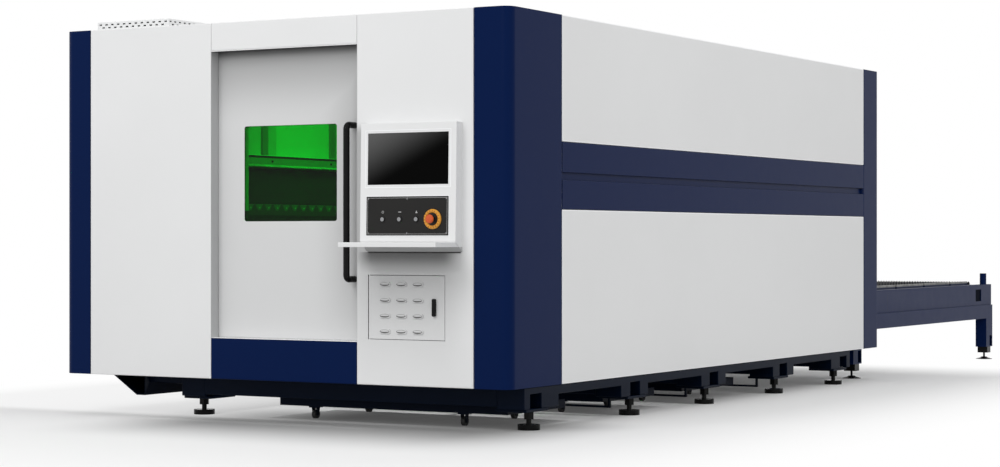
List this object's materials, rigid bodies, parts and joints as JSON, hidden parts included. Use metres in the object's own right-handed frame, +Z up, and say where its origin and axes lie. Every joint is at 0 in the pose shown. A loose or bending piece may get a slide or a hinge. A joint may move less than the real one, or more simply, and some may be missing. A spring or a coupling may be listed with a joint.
{
  "type": "fiber laser cutting machine",
  "caption": "Enclosed sheet-cutting laser machine with a sliding windowed door, operator console, inner gantry and cutting head, scrap trays and a rear pallet exchange table.",
  "frame": {"origin": "centre of the whole footprint on the floor, enclosure and exchange table together", "axes": "+Z up, +Y from the operator's door to the exchange table, +X to the right seen from the door"},
  "size_m": [2.973, 8.698, 2.266],
  "materials": {
    "white_sheet": "satin powder coat",
    "navy_sheet": "satin powder coat",
    "inner_sheet": "satin powder coat",
    "frame_paint": "satin paint",
    "window_green": "polished",
    "seal_rubber": "matt",
    "black_paint": "satin powder coat",
    "machined_steel": "ground",
    "slat_steel": "mill scale",
    "galvanised": "zinc plated",
    "screen_glass": "polished",
    "plate_charcoal": "matt",
    "button_metal": "polished",
    "ring_yellow": "satin",
    "button_red": "gloss",
    "gantry_paint": "satin powder coat",
    "chain_plastic": "satin",
    "guard_cloth": "matt",
    "caster_tyre": "matt"
  },
  "bodies": {
    "machine": {"bed_cross_beams": "frame_paint", "bed_left_side": "frame_paint", "bed_right_side": "frame_paint", "cabinet_box": "galvanised", "console_housing": "white_sheet", "console_screen": "screen_glass", "control_plate": "plate_charcoal", "door_header": "white_sheet", "door_tracks": "galvanised", "drag_chain": "chain_plastic", "estop_ring": "ring_yellow", "exchange_drive": "frame_paint", "exchange_table": "frame_paint", "front_left_column": "navy_sheet", "front_left_panel": "white_sheet", "front_right_column": "navy_sheet", "front_right_panel": "white_sheet", "keyboard_shelf": "white_sheet", "kick_panel": "navy_sheet", "laser_source": "inner_sheet", "left_band": "navy_sheet", "left_inner_wall": "inner_sheet", "left_lower_panel": "white_sheet", "left_outrigger": "frame_paint", "left_upper_panel": "white_sheet", "levelling_feet": "black_paint", "linear_guides": "machined_steel", "pleated_guard": "guard_cloth", "rear_left_post": "navy_sheet", "rear_panel": "white_sheet", "rear_right_post": "navy_sheet", "right_band": "navy_sheet", "right_lower_panel": "white_sheet", "right_upper_panel": "white_sheet", "roof_panels": "white_sheet", "roof_vent": "white_sheet"},
    "front_door": {"door_panel": "white_sheet", "window_seal": "seal_rubber", "window_glass": "window_green", "door_handle": "black_paint", "door_hangers": "galvanised"},
    "cabinet_door": {"cabinet_door": "white_sheet"},
    "cabinet_latch": {"cabinet_latch": "black_paint"},
    "estop_button": {"estop_button": "button_red"},
    "push_button_1": {"push_button_1": "button_metal"},
    "push_button_2": {"push_button_2": "button_metal"},
    "push_button_3": {"push_button_3": "button_metal"},
    "gantry": {"gantry_beam": "gantry_paint"},
    "cross_carriage": {"cross_carriage": "gantry_paint"},
    "cutting_head": {"cutting_head": "machined_steel"},
    "upper_pallet": {"upper_pallet_frame": "frame_paint", "upper_pallet_slats": "slat_steel"},
    "lower_pallet": {"lower_pallet": "frame_paint"},
    "scrap_trays": {"scrap_trays": "frame_paint"},
    "caster_wheels_1": {"caster_wheels_1": "caster_tyre"},
    "caster_wheels_2": {"caster_wheels_2": "caster_tyre"},
    "caster_wheels_3": {"caster_wheels_3": "caster_tyre"},
    "caster_wheels_4": {"caster_wheels_4": "caster_tyre"},
    "caster_wheels_5": {"caster_wheels_5": "caster_tyre"},
    "caster_wheels_6": {"caster_wheels_6": "caster_tyre"}
  },
  "joints": [
    {"name": "door_slide", "type": "slide", "parent": "machine", "child": "front_door", "axis": [-1, 0, 0], "range_m": [0, 0.87]},
    {"name": "cabinet_hinge", "type": "hinge", "parent": "machine", "child": "cabinet_door", "pos_m": [0.624, -4.079, 0.6425], "axis": [0, 0, -1], "range_deg": [0, 105]},
    {"name": "latch_turn", "type": "hinge", "parent": "cabinet_door", "child": "cabinet_latch", "pos_m": [1.0325, -4.084, 0.6445], "axis": [0, 1, 0], "range_deg": [0, 90]},
    {"name": "estop_press", "type": "slide", "parent": "machine", "child": "estop_button", "axis": [0, 0.9998, -0.0192], "range_m": [0, 0.005], "stiffness_N_per_m": 1500},
    {"name": "button_press_1", "type": "slide", "parent": "machine", "child": "push_button_1", "axis": [0, 0.9998, -0.0192], "range_m": [0, 0.003], "stiffness_N_per_m": 1000},
    {"name": "button_press_2", "type": "slide", "parent": "machine", "child": "push_button_2", "axis": [0, 0.9998, -0.0192], "range_m": [0, 0.003], "stiffness_N_per_m": 1000},
    {"name": "button_press_3", "type": "slide", "parent": "machine", "child": "push_button_3", "axis": [0, 0.9998, -0.0192], "range_m": [0, 0.003], "stiffness_N_per_m": 1000},
    {"name": "gantry_travel", "type": "slide", "parent": "machine", "child": "gantry", "axis": [0, -1, 0], "range_m": [0, 3.15]},
    {"name": "cross_travel", "type": "slide", "parent": "gantry", "child": "cross_carriage", "axis": [1, 0, 0], "range_m": [-0.8, 0.8]},
    {"name": "head_lift", "type": "slide", "parent": "cross_carriage", "child": "cutting_head", "axis": [0, 0, -1], "range_m": [0, 0.11]},
    {"name": "upper_pallet_travel", "type": "slide", "parent": "machine", "child": "upper_pallet", "axis": [0, -1, 0], "range_m": [0, 3.86]},
    {"name": "lower_pallet_travel", "type": "slide", "parent": "machine", "child": "lower_pallet", "axis": [0, 1, 0], "range_m": [0, 3.86]},
    {"name": "tray_travel", "type": "slide", "parent": "machine", "child": "scrap_trays", "axis": [0, -1, 0], "range_m": [0, 3.3]},
    {"name": "caster_spin_1", "type": "hinge", "parent": "scrap_trays", "child": "caster_wheels_1", "pos_m": [0.5125, -3.72, 0.025], "axis": [1, 0, 0], "continuous": true},
    {"name": "caster_spin_2", "type": "hinge", "parent": "scrap_trays", "child": "caster_wheels_2", "pos_m": [0.5125, -3.181, 0.025], "axis": [1, 0, 0], "continuous": true},
    {"name": "caster_spin_3", "type": "hinge", "parent": "scrap_trays", "child": "caster_wheels_3", "pos_m": [0.5125, -2.631, 0.025], "axis": [1, 0, 0], "continuous": true},
    {"name": "caster_spin_4", "type": "hinge", "parent": "scrap_trays", "child": "caster_wheels_4", "pos_m": [0.5125, -2.057, 0.025], "axis": [1, 0, 0], "continuous": true},
    {"name": "caster_spin_5", "type": "hinge", "parent": "scrap_trays", "child": "caster_wheels_5", "pos_m": [0.5125, -1.585, 0.025], "axis": [1, 0, 0], "continuous": true},
    {"name": "caster_spin_6", "type": "hinge", "parent": "scrap_trays", "child": "caster_wheels_6", "pos_m": [0.5125, -0.907, 0.025], "axis": [1, 0, 0], "continuous": true}
  ],
  "couplings": [
    {"joint": "lower_pallet_travel", "follows": "upper_pallet_travel", "ratio": 1}
  ]
}
